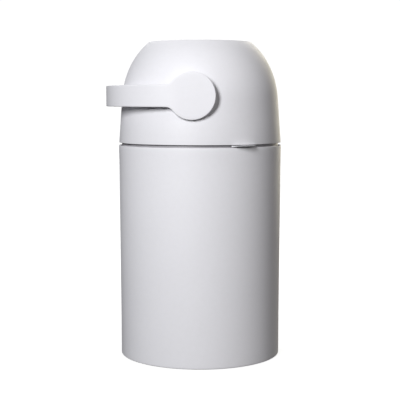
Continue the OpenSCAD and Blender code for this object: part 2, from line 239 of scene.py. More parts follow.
def add(o, *tools):
    return boolean(o, tools, "UNION")


def shared(o, *tools):
    return boolean(o, tools, "INTERSECT")


def bevel(o, width, segments=2, angle=40):
    """Rounds the edges sharper than the angle, with the result applied to the mesh."""
    bm = bmesh.new()
    bm.from_mesh(o.data)
    bmesh.ops.remove_doubles(bm, verts=bm.verts, dist=1e-6)
    bmesh.ops.dissolve_degenerate(bm, dist=1e-6, edges=bm.edges)
    bm.to_mesh(o.data)
    bm.free()
    mod = o.modifiers.new("r", "BEVEL")
    mod.width = width * MM
    mod.segments = segments
    mod.limit_method = "ANGLE"
    mod.angle_limit = math.radians(angle)
    mod.use_clamp_overlap = True
    mod.harden_normals = False
    dg = bpy.context.evaluated_depsgraph_get()
    me = bpy.data.meshes.new_from_object(o.evaluated_get(dg))
    o.modifiers.clear()
    old = o.data
    o.data = me
    bpy.data.meshes.remove(old)
    return o


def spline(points, per=12):
    """A smooth line through (x, y) points."""
    out = []
    n = len(points)
    for i in range(n - 1):
        p1, p2 = points[i], points[i + 1]
        p0 = points[i - 1] if i else (2 * p1[0] - p2[0], 2 * p1[1] - p2[1])
        p3 = points[i + 2] if i + 2 < n else (2 * p2[0] - p1[0], 2 * p2[1] - p1[1])
        for k in range(per):
            t = k / per
            out.append(tuple(
                0.5 * ((2 * p1[c]) + (p2[c] - p0[c]) * t + (2 * p0[c] - 5 * p1[c] + 4 * p2[c] - p3[c]) * t * t
                       + (3 * p1[c] - p0[c] - 3 * p2[c] + p3[c]) * t ** 3) for c in (0, 1)))
    out.append(tuple(points[-1]))
    return out


def bezier(p, n):
    out = []
    for i in range(n + 1):
        t = i / n
        u = 1 - t
        out.append(tuple(u ** 3 * p[0][c] + 3 * u * u * t * p[1][c] + 3 * u * t * t * p[2][c] + t ** 3 * p[3][c] for c in (0, 1)))
    return out


def inset(line, d):
    """An open line moved sideways by d."""
    out = []
    for i, p in enumerate(line):
        a, b = line[max(i - 1, 0)], line[min(i + 1, len(line) - 1)]
        l = math.hypot(b[0] - a[0], b[1] - a[1])
        out.append((p[0] - d * (b[1] - a[1]) / l, p[1] + d * (b[0] - a[0]) / l))
    return out


# ---------------------------------------------------------------- materials
def nodes_of(name):
    m = bpy.data.materials.new(name)
    m.use_nodes = True
    t = m.node_tree
    return m, t, t.nodes["Principled BSDF"], t.links


def noise_node(t, links, coord, scale, detail=3.0, rough=0.5):
    n = t.nodes.new("ShaderNodeTexNoise")
    n.inputs["Scale"].default_value = scale
    n.inputs["Detail"].default_value = detail
    n.inputs["Roughness"].default_value = rough
    links.new(coord.outputs["Object"], n.inputs["Vector"])
    return n


def ramp(t, links, source, stops):
    r = t.nodes.new("ShaderNodeValToRGB")
    e = r.color_ramp.elements
    e[0].position, e[0].color = stops[0]
    e[1].position, e[1].color = stops[-1]
    for pos, col in stops[1:-1]:
        x = e.new(pos)
        x.color = col
    links.new(source, r.inputs["Fac"])
    return r


def plastic(name, colour, vary=0.012, rough=0.42, rough_vary=0.05, grain=2600.0, bump=0.00002, spec=0.5, scuffs=0.0, sheen=0.0):
    """Moulded plastic: fine spark-eroded grain, slow changes of tone, and faint rubbed patches."""
    m, t, p, links = nodes_of(name)
    coord = t.nodes.new("ShaderNodeTexCoord")
    slow = noise_node(t, links, coord, 7.0, 2.0)
    a = tuple(max(0.0, c * (1 - vary)) for c in colour) + (1.0,)
    b = tuple(min(1.0, c * (1 + vary * 0.4)) for c in colour) + (1.0,)
    tone = ramp(t, links, slow.outputs["Fac"], [(0.3, a), (0.7, b)])
    fine = noise_node(t, links, coord, grain, 2.0, 0.6)
    mid = noise_node(t, links, coord, 130.0, 4.0, 0.55)
    speck = t.nodes.new("ShaderNodeMix")
    speck.data_type = "RGBA"
    speck.blend_type = "MULTIPLY"
    links.new(tone.outputs["Color"], speck.inputs["A"])
    dust = ramp(t, links, mid.outputs["Fac"], [(0.25, (0.975, 0.975, 0.97, 1.0)), (0.6, (1.0, 1.0, 1.0, 1.0))])
    links.new(dust.outputs["Color"], speck.inputs["B"])
    speck.inputs["Factor"].default_value = 0.6
    links.new(speck.outputs["Result"], p.inputs["Base Color"])
    r0, r1 = rough - rough_vary, rough + rough_vary
    patch = noise_node(t, links, coord, 22.0, 5.0, 0.6)
    rr = ramp(t, links, patch.outputs["Fac"], [(0.3, (r0, r0, r0, 1)), (0.7, (r1, r1, r1, 1))])
    out = rr.outputs["Color"]
    if scuffs:
        w = t.nodes.new("ShaderNodeTexNoise")
        w.inputs["Scale"].default_value = 55.0
        w.inputs["Detail"].default_value = 8.0
        w.inputs["Distortion"].default_value = 2.5
        links.new(coord.outputs["Object"], w.inputs["Vector"])
        sc = ramp(t, links, w.outputs["Fac"], [(0.62, (0, 0, 0, 1)), (0.70, (scuffs, scuffs, scuffs, 1))])
        am = t.nodes.new("ShaderNodeMath")
        am.operation = "ADD"
        am.use_clamp = True
        links.new(out, am.inputs[0])
        links.new(sc.outputs["Color"], am.inputs[1])
        out = am.outputs["Value"]
    links.new(out, p.inputs["Roughness"])
    p.inputs["Specular IOR Level"].default_value = spec
    b1 = t.nodes.new("ShaderNodeBump")
    b1.inputs["Strength"].default_value = 0.5
    b1.inputs["Distance"].default_value = bump
    links.new(fine.outputs["Fac"], b1.inputs["Height"])
    b2 = t.nodes.new("ShaderNodeBump")
    b2.inputs["Strength"].default_value = 0.35
    b2.inputs["Distance"].default_value = 0.00006
    links.new(patch.outputs["Fac"], b2.inputs["Height"])
    links.new(b1.outputs["Normal"], b2.inputs["Normal"])
    links.new(b2.outputs["Normal"], p.inputs["Normal"])
    if sheen:
        p.inputs["Sheen Weight"].default_value = sheen
        p.inputs["Sheen Roughness"].default_value = 0.5
    return m


def metal(name, colour, rough=0.32, scale=(40.0, 40.0, 900.0)):
    m, t, p, links = nodes_of(name)
    coord = t.nodes.new("ShaderNodeTexCoord")
    mp = t.nodes.new("ShaderNodeMapping")
    mp.inputs["Scale"].default_value = scale
    links.new(coord.outputs["Object"], mp.inputs["Vector"])
    n = t.nodes.new("ShaderNodeTexNoise")
    n.inputs["Scale"].default_value = 1.0
    n.inputs["Detail"].default_value = 4.0
    links.new(mp.outputs["Vector"], n.inputs["Vector"])
    a = tuple(c * 0.86 for c in colour) + (1.0,)
    tone = ramp(t, links, n.outputs["Fac"], [(0.3, a), (0.7, tuple(colour) + (1.0,))])
    links.new(tone.outputs["Color"], p.inputs["Base Color"])
    rr = ramp(t, links, n.outputs["Fac"], [(0.3, (rough - 0.08,) * 3 + (1,)), (0.75, (rough + 0.1,) * 3 + (1,))])
    links.new(rr.outputs["Color"], p.inputs["Roughness"])
    p.inputs["Metallic"].default_value = 1.0
    b = t.nodes.new("ShaderNodeBump")
    b.inputs["Strength"].default_value = 0.4
    b.inputs["Distance"].default_value = 0.00003
    links.new(n.outputs["Fac"], b.inputs["Height"])
    links.new(b.outputs["Normal"], p.inputs["Normal"])
    return m


MAT = {
    "shell_white": plastic("shell_white", (0.80, 0.80, 0.825), rough=0.52, rough_vary=0.04, spec=0.45),
    "inner_white": plastic("inner_white", (0.74, 0.745, 0.76), rough=0.36, rough_vary=0.06, scuffs=0.12),
    # painted shade: the real collar is white plastic, and this grey stands in for the shade in the seam gap between
    # dome and bucket
    "collar_grey": plastic("collar_grey", (0.36, 0.35, 0.37), rough=0.5, vary=0.03),
    "seal_grey": plastic("seal_grey", (0.55, 0.57, 0.59), rough=0.55, vary=0.04, grain=1500.0, sheen=0.15),
    "foot_rubber": plastic("foot_rubber", (0.045, 0.045, 0.048), rough=0.72, vary=0.15, grain=1200.0, bump=0.00005, spec=0.35),
    "acetal": plastic("acetal", (0.66, 0.655, 0.62), rough=0.28, vary=0.02),
    "steel": metal("steel", (0.60, 0.61, 0.63)),
}


def finish_piece(o, body, slot, *cad):
    o.data.materials.clear()
    o.data.materials.append(MAT[slot])
    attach(o, body)
    if cad:
        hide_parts(*cad)
    return o


# ---------------------------------------------------------------- more helpers
def merge(*obs):
    """Joins closed pieces that don't meet into one object."""
    bm = bmesh.new()
    for o in obs:
        bm.from_mesh(o.data)
    bm.to_mesh(obs[0].data)
    bm.free()
    for o in obs[1:]:
        me = o.data
        bpy.data.objects.remove(o)
        bpy.data.meshes.remove(me)
    return obs[0]


def tidy(o, flat=0.3):
    bm = bmesh.new()
    bm.from_mesh(o.data)
    bmesh.ops.remove_doubles(bm, verts=bm.verts, dist=2e-6)
    bmesh.ops.dissolve_limit(bm, angle_limit=math.radians(flat), verts=bm.verts, edges=bm.edges)
    bmesh.ops.dissolve_degenerate(bm, dist=2e-6, edges=bm.edges)
    bm.to_mesh(o.data)
    bm.free()
    return o


def bake(o):
    """Applies the object's modifiers to its mesh."""
    dg = bpy.context.evaluated_depsgraph_get()
    me = bpy.data.meshes.new_from_object(o.evaluated_get(dg))
    o.modifiers.clear()
    old = o.data
    o.data = me
    bpy.data.meshes.remove(old)
    return o


def soften(o, width, segments=3, angle=35, flat=0.3):
    """Tidies a cut solid, rounds its sharp edges and gives its flats clean normals."""
    tidy(o, flat)
    mod = o.modifiers.new("r", "BEVEL")
    mod.width = width * MM
    mod.segments = segments
    mod.limit_method = "ANGLE"
    mod.angle_limit = math.radians(angle)
    mod.use_clamp_overlap = True
    bake(o)
    return clean_normals(o)


def clean_normals(o, angle=40):
    o.data.shade_smooth()
    o.data.set_sharp_from_angle(angle=math.radians(angle))
    mod = o.modifiers.new("n", "WEIGHTED_NORMAL")
    mod.mode = "FACE_AREA"
    mod.weight = 60
    mod.keep_sharp = True
    return bake(o)


def convex(points):
    pts = sorted(set((round(x, 6), round(y, 6)) for x, y in points))

    def chain(seq):
        out = []
        for p in seq:
            while len(out) > 1 and (out[-1][0] - out[-2][0]) * (p[1] - out[-2][1]) - (out[-1][1] - out[-2][1]) * (p[0] - out[-2][0]) <= 0:
                out.pop()
            out.append(p)
        return out[:-1]

    return chain(pts) + chain(pts[::-1])


def circle(r, cx=0.0, cy=0.0, n=64, a0=0.0, a1=360.0):
    full = abs(a1 - a0) >= 360
    return [(cx + r * math.cos(math.radians(a0 + (a1 - a0) * i / n)), cy + r * math.sin(math.radians(a0 + (a1 - a0) * i / n)))
            for i in range(n if full else n + 1)]


def ngon(r, sides, z0, z1, twist=0.0):
    return prism("tool", circle(r, n=sides, a0=twist, a1=twist + 360), z0, z1)


def side_prism(name, outline, y0, y1):
    """A straight solid with this (x, z) outline between two distances along Y."""
    o = prism(name, [(x, -z) for x, z in outline], y0, y1)
    return move(o, turn(-90, "X"))


FRONT = at(0, 0, HUB_Z) @ Y_BAR  # local +Z runs out towards the front hub, local +Y is up
REAR = turn(180, "Z") @ FRONT


def screw(name, head_r, head_h, socket_r, socket_d, shank_r, length, pitch=1.25):
    """A pan-head screw, its head's seat at the origin, its point along +Z."""
    prof = [(0.0, -head_h), (head_r * 0.62, -head_h)]
    prof += arc_corner((head_r * 0.62, -head_h), (head_r, -head_h * 0.86), (head_r, 0.0), 0.75, 6)
    prof += arc_corner((head_r, -head_h * 0.5), (head_r, 0.0), (shank_r, 0.0), 0.15, 2)
    root = shank_r * 0.74
    z = 0.0
    prof.append((shank_r, 0.0))
    prof.append((shank_r, 0.9))
    z = 0.9
    while z < length - 2.4:
        prof += [(root, z + pitch * 0.32), (root, z + pitch * 0.52), (shank_r * 0.99, z + pitch * 0.86), (shank_r * 0.99, z + pitch)]
        z += pitch
    prof += [(root, z + 0.4), (root * 0.8, length - 0.5), (root * 0.45, length), (0.0, length)]
    o = lathe(name, prof, 40)
    cut(o, ngon(socket_r, 6, -head_h - 1.0, -head_h + socket_d))
    return clean_normals(tidy(o, 0.1), 35)


def copies(o, *mats):
    """One object made of a copy of o at each placing."""
    bm = bmesh.new()
    for m in mats:
        me = o.data.copy()
        me.transform(m)
        bm.from_mesh(me)
        bpy.data.meshes.remove(me)
    bm.to_mesh(o.data)
    bm.free()
    o.data.shade_smooth()
    o.data.set_sharp_from_angle(angle=math.radians(35))
    return o


# ---------------------------------------------------------------- bucket
rim = BUCKET_LINE[-1][0]
outer = spline(BUCKET_LINE, 14)
prof = [(0.0, 6.4)] + rounded([(40.0, 6.4), (113.0, 6.4, 2.2), (113.0, 0.4, 0.5), (116.9, 0.4, 0.4), (116.9, 2.65),
    (128.1, 2.65), (128.1, 0.4, 0.4), (136.46, 0.4, 1.5), (136.5, 4.6)], 6)[:]
prof += [p for p in outer if 5.0 < p[1]]
prof += rounded([(rim, 355.0), (rim, BUCKET_H, 0.6), (rim - BUCKET_WALL, BUCKET_H, 0.6), (rim - BUCKET_WALL, 355.0)], 5)[1:-1]
prof += [(r - BUCKET_WALL, z) for r, z in reversed(outer) if z > 16]
prof += rounded([(134.1, 16.0), (134.1, 9.0, 5.0), (100.0, 9.0)], 8)[1:-1] + [(0.0, 9.0)]
bucket = lathe("bucket_body", prof, 320)
web = add(rod(24.6, 2.8, 7.0, 96), merge(*[move(block((20.0, -0.8, 2.9), (112.9, 0.8, 7.0)), turn(30 * k + 15, "Z")) for k in range(12)]))
cut(web, rod(21.4, 2.0, 8.0, 96))
bosses = merge(*[move(rod(4.4, 0, 7.9, 48), TAB @ at(-137.0, y, 324) @ X_BAR) for y in (-16, 16)])
shared(bosses, rod(136.4, 300, 350, 320))
add(bucket, merge(web, bosses))
cut(bucket, merge(*[move(rod(1.45, 0, 24, 32), TAB @ at(-150.0, y, 324) @ X_BAR) for y in (-16, 16)]))
finish_piece(smooth(bucket, 30), "bucket", "shell_white", "bucket_shell")

foot = lathe("foot_ring_rubber", rounded([(117, 0, .35), (120, 0, .2), (120, 1.0, .2), (121.2, 1.0, .2), (121.2, 0, .2), (123.8, 0, .2),
    (123.8, 1.0, .2), (125, 1.0, .2), (125, 0, .2), (128, 0, .35), (128, 2.6, .2), (117, 2.6, .2)], 3), 256)
finish_piece(smooth(foot, 40), "bucket", "foot_rubber", "foot_ring")

neck = lathe("neck_collar", rounded([(126.5, 334, .5), (136, 334, .3), (136, 356), (136.2, 359.6, .2), (133.5, 359.6, .25),
    (133.5, 369, .7), (131, 369, .5), (131, 356, 1.0), (134, 355.4, 1.0), (134, 336, .8), (126.5, 336, .5)], 4), 320)
slot_cut = move(block((120, -13.6, 359.75), (140, 13.6, 380)), TAB)
cut(neck, slot_cut)
# the collar's grey material is painted shade for the seam gap it shows through
finish_piece(smooth(neck, 30), "bucket", "collar_grey", "neck_ring")

bag_ring = lathe("bag_ring_loose", rounded([(112, 347.2, .6), (113, 346.4, .5), (128.6, 346.4, .8), (128.6, 336, .5), (130.4, 336, .5), (130.4, 349, 1.4),
    (113, 349, .9), (112, 348, .6)], 5), 288)
finish_piece(smooth(bag_ring, 30), "bucket", "inner_white", "bag_ring")

# ---------------------------------------------------------------- hinge
def sector(line, t, half, seg=40):
    return lathe("tool", line + [(r + t, z) for r, z in reversed(line)], seg, 2 * half, 180 - half)


def barrel(r, y0, y1, seg=64):
    """A bar along the tab frame's Y through the hinge axis."""
    return move(rod(r, y0, y1, seg), at(-HINGE_OFF, 0, HINGE_Z) @ turn(-90, "X"))


def dome_at(z):
    return DOME_R + (KNEE[0] - DOME_R) * (z - DOME_Z - 0.4) / (KNEE[1] - DOME_Z - 0.4)


bracket = sector([(138.3, 316), (138.85, 354), (138.85, 357)], 2.4, 10.4)
lug = convex(circle(BARREL, -HINGE_OFF, HINGE_Z, 64) + [(-143.1, 348), (-140.9, 348), (-140.9, 350), (-143.1, 350)])
add(bracket, merge(side_prism("tool", lug, 11.2, 22.0), side_prism("tool", lug, -22.0, -11.2)))
cut(bracket, rod(138.86, 300, 380, 640))
cut(bracket, block((-150, -10.9, 355.5), (-130, 10.9, 375.5)))
cut(bracket, merge(barrel(2.0, -30, 30), *[move(rod(1.5, 0, 20, 40), at(-150, y, 324) @ X_BAR) for y in (-16, 16)]))
soften(bracket, 0.45, 3, 40)
bracket.name = "hinge_bracket_lugs"
move(bracket, TAB)
finish_piece(bracket, "bucket", "shell_white", "hinge_bracket")

leaf = sector([(dome_at(370) + 0.05, 370), (dome_at(393) + 0.05, 393)], 2.4, 10.4)
knuckle = convex(circle(BARREL, -HINGE_OFF, HINGE_Z, 64) + [(-141.1, 371), (-139.1, 371), (-139.1, 373), (-141.1, 373)])
add(leaf, side_prism("tool", knuckle, -10.6, 10.6))
cut(leaf, lathe("tool", [(0, 363.3), (dome_at(364.9) + 0.06, 363.3), (dome_at(364.9) + 0.06, 364.9), (dome_at(410) + 0.05, 410), (0, 410)], 640))
cut(leaf, merge(barrel(2.05, -30, 30), *[move(rod(1.5, 0, 20, 40), at(-150, y, 384) @ X_BAR) for y in (-16, 16)]))
soften(leaf, 0.45, 3, 40)
leaf.name = "hinge_leaf_knuckle"
move(leaf, TAB)
finish_piece(leaf, "head", "shell_white", "hinge_leaf")

pin = lathe("hinge_pin_rod", [(0, -22.8), (1.5, -22.8), (2.0, -22.3), (2.0, 22.3), (1.5, 22.8), (0, 22.8)], 64)
move(pin, TAB @ at(-HINGE_OFF, 0, HINGE_Z) @ turn(-90, "X"))
finish_piece(smooth(pin, 25), "bucket", "steel", "hinge_pin")

s = screw("bracket_screw_pair", 3.0, 1.7, 1.2, 1.0, 1.4, 11.0)
copies(s, *[TAB @ at(-140.2, y, 324) @ X_BAR for y in (-16, 16)])
finish_piece(s, "bucket", "steel", "bracket_screws")
s = screw("leaf_screw_pair", 3.0, 1.7, 1.2, 1.0, 1.4, 11.0)
copies(s, *[TAB @ at(-139.1, y, 384) @ X_BAR for y in (-16, 16)])
finish_piece(s, "head", "steel", "leaf_screws")

# ---------------------------------------------------------------- dome
curve = bezier([KNEE, (130.0, 480.0), (112.0, 514.0), (TOP_R, DOME_TOP - 1.0)], 44)
line = [(DOME_R, DOME_Z + 0.9), (DOME_R + (KNEE[0] - DOME_R) * 0.5, (DOME_Z + KNEE[1]) / 2)] + curve
inner = [p for p in inset(line, DOME_WALL)]
prof = rounded([(DOME_R - DOME_WALL, DOME_Z + 4), (DOME_R - DOME_WALL, DOME_Z, .5), (DOME_R, DOME_Z, .6), line[1]], 5)[1:-1]
prof += line[1:-1]
prof += rounded([line[-2], (TOP_R, DOME_TOP - 0.9, 0.5), (TOP_R - 0.9, DOME_TOP, 0.5), (TOP_R - 2.8, DOME_TOP, 0.2), (TOP_R - 2.8, DOME_TOP - 4.4)], 4)[1:]
prof += [p for p in reversed(inner) if p[1] < DOME_TOP - 5.6 and p[1] > DOME_Z + 6]
dome = lathe("dome_body", prof, 320)


def hub_parts(place):
    boss = lathe("tool", [(bushing, 116.9), (14.9, 116.9), (14.9, 125), (17, 125), (17, 117.2), (20, 117.2)]
                 + [(20, 134.3), (19.85, 134.65), (19.5, 134.8), (bushing, 134.8)], 128)
    return move(boss, place)


bushing = 12.0
boss_tools = merge(hub_parts(FRONT), hub_parts(REAR))
stop_ring = move(lathe("tool", [(11.4, 106), (14.8, 106), (14.8, 117.6), (11.4, 117.6)], 60, 158, 101), FRONT)
posts = []
for a in range(30, 360, 60):
    p = add(rod(4.6, 375, 405, 48), block((2.0, -1.3, 375), (7.9, 1.3, 405)))
    posts.append(move(p, TAB @ turn(a, "Z") @ at(127.4, 0, 0)))
leaf_boss = merge(*[move(rod(4.4, 0, 8, 48), TAB @ at(-137, y, 384) @ X_BAR) for y in (-16, 16)])
shared(leaf_boss, rod(135.3, 360, 400, 320))
add(dome, boss_tools)
add(dome, merge(stop_ring, leaf_boss, *posts))
bores = [move(rod(12.5, 100, 140, 128), FRONT), move(rod(12.5, 100, 140, 128), REAR)]
holes = [move(rod(1.5, 370, 394, 32), TAB @ turn(a, "Z") @ at(127.4, 0, 0)) for a in range(30, 360, 60)]
holes += [move(rod(1.4, 0, 24, 32), TAB @ at(-150, y, 384) @ X_BAR) for y in (-16, 16)]
cut(dome, merge(*bores, *holes))
finish_piece(smooth(dome, 30), "head", "shell_white", "dome_shell")

funnel = lathe("mouth_funnel", rounded([(85.1, 534, .3), (83.4, 534, .8), (82.0, 532.6, 1.6), (72, 500, 1.5), (72, 497, .4), (77.5, 497, .3), (77.5, 499, .3),
    (74.4, 499.4, .8), (83.4, 528, 1.2), (85.1, 529.8, .4)], 5), 288)
finish_piece(smooth(funnel, 30), "head", "shell_white", "top_funnel")

seal = lathe("mouth_seal", rounded([(71.9, 496.9, .2), (77.4, 496.9, .2), (77.4, 494.6, .3), (75, 493.6, .8), (71.3, 491.6, .25), (70.75, 492.1, .25), (71.6, 494.4, .8)], 4), 256)
finish_piece(smooth(seal, 40), "head", "seal_grey", "upper_seal")
seal = lathe("outlet_seal", rounded([(72.5, 387.7, .1), (75.1, 387.7, .1), (75.1, 384, .2), (76.9, 384, .3), (76.9, 391, .6), (75, 392.4, .8), (71.3, 394.4, .25),
    (70.75, 393.9, .25), (71.6, 391.6, .8), (72.5, 390, .4)], 4), 256)
finish_piece(smooth(seal, 40), "head", "seal_grey", "lower_seal")
seal = lathe("bag_seal_ring", rounded([(113, 350, .3), (113.7, 349.3, .3), (117.3, 349.3, .3), (118, 350, .3), (118, 354.5, .4), (116.65, 354.5, .2), (116.65, 351.7, .1),
    (114.35, 351.7, .1), (114.35, 354.5, .2), (113, 354.5, .4)], 3), 256)
finish_piece(smooth(seal, 40), "head", "seal_grey", "bag_seal")

deck = lathe("deck_plate", rounded([(134, 372, .4), (134, 375, .4), (78.5, 375, 1.5), (75, 378, 1.5), (75, 387.6, .3), (72.6, 387.6, .3), (72.6, 373, .8), (73.6, 372, .8),
    (114.4, 372, .8), (114.4, 351.8, .2), (116.6, 351.8, .2), (116.6, 372, .8)], 5), 288)
ribs = [move(block((76.5, -0.7, 369.4), (114.6, 0.7, 372.6)), TAB @ turn(15 + 30 * k, "Z")) for k in range(12)]
chan = [block((121, 9.5, 365.2), (134, 13.1, 373)), block((121, -13.1, 365.2), (134, -9.5, 373))]
lips = [block((121, 4.5, 365.2), (134, 10.5, 367.7)), block((121, -10.5, 365.2), (134, -4.5, 367.7))]
chan = [add(a, b) for a, b in zip(chan, lips)]
chan = shared(merge(*chan), rod(134, 300, 400, 320))
move(chan, TAB)
add(deck, merge(chan, *ribs))
cut(deck, merge(*[move(rod(1.8, 371, 377, 32), TAB @ turn(a, "Z") @ at(127.4, 0, 0)) for a in range(30, 360, 60)]))
finish_piece(smooth(deck, 30), "head", "inner_white", "head_base")

s = screw("deck_screw_set", 3.2, 2.0, 1.3, 1.2, 1.5, 16.0)
copies(s, *[TAB @ turn(a, "Z") @ at(127.4, 0, 372) for a in range(30, 360, 60)])
finish_piece(s, "head", "steel", "deck_screws")

for name, cad, place in (("front_bush_flanged", "front_bush", FRONT), ("rear_bush_flanged", "rear_bush", REAR)):
    b = lathe(name, rounded([(9.06, 116.6, .4), (12.5, 116.6, .3), (12.5, 134.8), (18.5, 134.8, .2), (18.5, 136.3, .5), (9.06, 136.3, .4)], 4), 128)
    move(b, place)
    finish_piece(smooth(b, 30), "head", "acetal", cad)

# ---------------------------------------------------------------- release tab and its spring
R_RIM = 138.8
tongue = []
cx, rr = R_RIM + 9 - 29.7, 29.7
a = math.degrees(math.asin(23 / rr))
tongue += circle(rr, cx, 0, 72, -a, a)
b = math.degrees(math.asin(23 / 138.0))
c = math.degrees(math.asin(13 / 138.0))
tongue += circle(138.0, 0, 0, 20, b, c)
tongue += [(121.0, 13.0), (121.0, -13.0)]
tongue += circle(138.0, 0, 0, 20, -c, -b)
tab = prism("tab_tongue", tongue, 360.35, 363.35)
web = block((125, -4.2, 363.0), (134.4, 4.2, 369.0))
cap = block((125, -9, 368.0), (134.4, 9, 370.6))
web = shared(add(web, cap), rod(134.7, 300, 400, 320))
hook = side_prism("tool", [(124.6, 361.0), (124.6, 351.6), (128, 351.6), (133.2, 354.6), (133.2, 355), (128, 355), (128, 361.0)], -8, 8)
add(tab, web)
add(tab, hook)
# the finger lip is undercut, so that it comes to a thin edge at the top
cut(tab, side_prism("tool", [(133.5, 360.36), (133.5, 359.5), (149.5, 359.5), (149.5, 362.85), (143.0, 362.6), (138.5, 361.9)], -26, 26))
soften(tab, 0.3, 3, 35, 0.2)
move(tab, TAB)
finish_piece(tab, "tab", "shell_white", "release_tab")


def coil(name, wire, radius, length, x0, turns, per=40, sides=14):
    verts, faces = [], []
    n = turns * per
    for i in range(n + 1):
        a = 2 * math.pi * i / per
        x = x0 + wire + (length - 2 * wire) * i / n
        for j in range(sides):
            b = 2 * math.pi * j / sides
            q = radius + wire * math.cos(b)
            verts.append((x + wire * math.sin(b), q * math.cos(a), q * math.sin(a)))
    for i in range(n):
        for j in range(sides):
            k = (j + 1) % sides
            faces.append((i * sides + j, i * sides + k, (i + 1) * sides + k, (i + 1) * sides + j))
    faces.append(tuple(range(sides))[::-1])
    faces.append(tuple(n * sides + j for j in range(sides)))
    return mesh_object(name, verts, faces)


spring = coil("latch_spring_coil", 0.45, 2.3, 7.2, 117.2, 4)
move(spring, TAB @ at(0, 0, 366.4))
finish_piece(smooth(spring, 40), "head", "steel", "latch_spring")
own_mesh(spring)

# ---------------------------------------------------------------- drum
def drum_half(name, screw_side):
    a0 = math.asin(TUBE_HALF / DRUM_R)
    arc = [(DRUM_R * math.cos(a0 * (1 - i / 40)), DRUM_R * math.sin(a0 * (1 - i / 40))) for i in range(41)]
    ri = DRUM_R - 3
    ra = TUBE_R + 2.5
    a1 = math.acos(ra / ri)
    arc_in = [(ri * math.cos(a1 * i / 30), ri * math.sin(a1 * i / 30)) for i in range(31)]
    prof = rounded([(TUBE_R, 20.0), (TUBE_R, TUBE_HALF - 3, .4), (TUBE_R - 3, TUBE_HALF - 3, .5), (TUBE_R - 3, TUBE_HALF, .9), (arc[0][0], TUBE_HALF, 1.2), arc[2]], 5)[1:-1]
    prof += arc[2:-1] + [(DRUM_R - 0.02, 0.35), (DRUM_R - 0.35, 0.0)] + arc_in + [(ra, 0.0), (TUBE_R, 0.0)]
    o = lathe(name, prof, 256)
    saddles = []
    for y in (-1, 1):
        saddles.append(block((-22, min(y * 63.6, y * 90), 0.0), (22, max(y * 63.6, y * 90), 14)))
    for x in (-24, 24):
        for y in (-72, 72):
            post = move(rod(5.0, 0.0, 70, 40), at(x, y, 0))
            near = saddles[0] if y < 0 else saddles[1]
            add(near, post)
    solid = merge(*saddles)
    ball = lathe("tool", [(0, -84.5)] + [(84.5 * math.cos(math.radians(t)), 84.5 * math.sin(math.radians(t))) for t in range(-88, 89, 2)] + [(0, 84.5)], 256)
    shared(solid, ball)
    add(o, solid)
    plates = []
    for y in (-1, 1):
        slab = block((-18.1, min(y * 65.9, y * 70.1), -1), (18.1, max(y * 65.9, y * 70.1), 10.1))
        back = block((-12, min(y * 73, y * 79), -1), (12, max(y * 73, y * 79), 10))
        jr = move(rod(9.05, 63, 90, 96), Y_BAR if y < 0 else turn(180, "Z") @ Y_BAR)
        plates.append(add(add(jr, slab), back))
    cut(o, merge(*plates))
    holes = []
    for x in (-24, 24):
        for y in (-72, 72):
            if screw_side:
                h = add(rod(1.8, -1, 19, 32), rod(3.75, 10, 70, 48))
            else:
                h = rod(1.4, -1, 16, 32)
            holes.append(move(h, at(x, y, 0)))
    cut(o, merge(*holes))
    return o


half = drum_half("drum_half_upper", False)
move(half, at(0, 0, HUB_Z))
finish_piece(smooth(half, 30), "drum", "inner_white", "drum_upper_half")
half = drum_half("drum_half_lower", True)
move(half, at(0, 0, HUB_Z) @ turn(180, "X"))
finish_piece(smooth(half, 30), "drum", "inner_white", "drum_lower_half")


def trunnion(name, place, stop):
    o = rod(9.0, 69, 136.8, 128)
    o.name = name
    add(o, block((-18, -10, 66), (18, 10, 70)))
    if stop:
        add(o, shared(rod(14.4, 108, 114, 128), prism("tool", [(0, 0), (3.6, 20), (-3.6, 20)], 100, 120)))
    cut(o, add(rod(5.5, 60, 118, 64), rod(2.2, 110, 130, 48)))
    cut(o, ngon(6.6, 6, 124, 154))
    soften(o, 0.35, 2, 40)
    move(o, place)
    return finish_piece(o, "drum", "acetal", name.replace("_journal", ""))


trunnion("front_trunnion_journal", FRONT, True)
trunnion("rear_trunnion_journal", REAR, False)

s = screw("drum_screw_set", 3.2, 2.2, 1.3, 1.2, 1.4, 24.0)
copies(s, *[at(x, y, HUB_Z - 10) for x in (-24, 24) for y in (-72, 72)])
finish_piece(s, "drum", "steel", "drum_screws")
s = screw("handle_screw_pair", 4.0, 2.5, 1.6, 1.4, 1.35, 17.6)
copies(s, FRONT @ at(0, 0, 117.9), REAR @ at(0, 0, 117.9))
finish_piece(s, "drum", "steel", "handle_screws")

# ---------------------------------------------------------------- piston
def piston_face():
    h = PISTON_T / 2
    r = TUBE_R - 0.35
    pts = [(0, 0)]
    for g in (18, 32, 46):
        pts += [(g - 1.15, 0.0)] + [(g + 0.9 * math.cos(math.radians(t)), 0.9 * math.sin(math.radians(t))) for t in range(165, 14, -15)] + [(g + 1.15, 0.0)]
    tail = rounded([(52, 0), (r - 3.6, 0, 1.4), (r, 3, 1.4), (r, h - 2, .3), (r - 3.2, h - 2, .2), (r - 3.2, h, .2), (45, h, .3), (45, 4, .5), (30, 4)], 5)
    return pts + tail[1:-1] + [(0, 4)]


